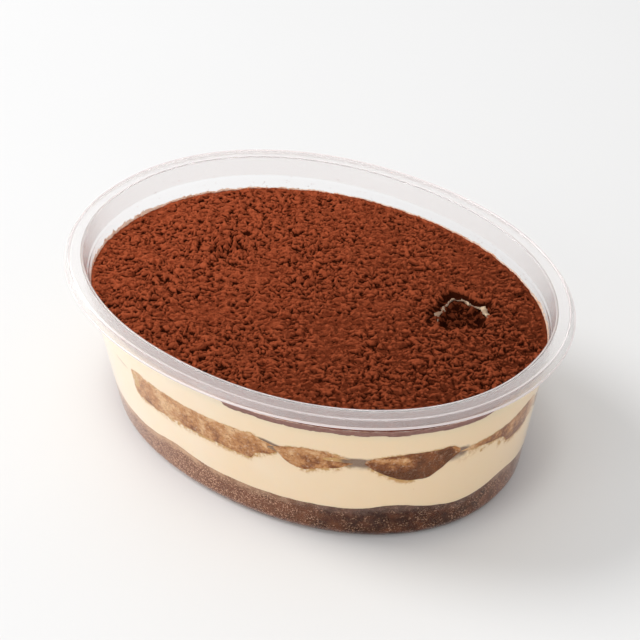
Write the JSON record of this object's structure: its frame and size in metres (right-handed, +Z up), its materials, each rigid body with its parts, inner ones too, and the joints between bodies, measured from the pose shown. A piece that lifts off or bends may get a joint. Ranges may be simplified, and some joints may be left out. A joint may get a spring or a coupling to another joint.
{
  "type": "tiramisu in an oval tub",
  "caption": "Layered coffee dessert dusted with cocoa, in its own clear oval tub with a flat rim and no lid.",
  "frame": {"origin": "middle of the tub's footprint, on the surface that it stands on", "axes": "+Z up, +X along the tub's long axis, -Y towards the front; the dent in the cocoa is at +X, +Y"},
  "size_m": [0.185, 0.1426, 0.0615],
  "materials": {
    "tub": "clear thin plastic, glossy",
    "soaked_base": "dark soaked sponge with open crumb",
    "cream": "smooth set cream, soft satin",
    "ladyfinger": "soaked sponge with small pores",
    "cocoa": "dry matt powder in small clumps"
  },
  "bodies": {
    "root": {"tub": "tub", "sponge_base": "soaked_base", "cream_lower": "cream", "cream_upper": "cream", "finger_front_long": "ladyfinger", "finger_front_short": "ladyfinger", "finger_row_two": "ladyfinger", "finger_row_three": "ladyfinger", "finger_row_four": "ladyfinger", "finger_back_short": "ladyfinger", "finger_back_long": "ladyfinger", "cocoa_dusting": "cocoa"}
  },
  "joints": []
}
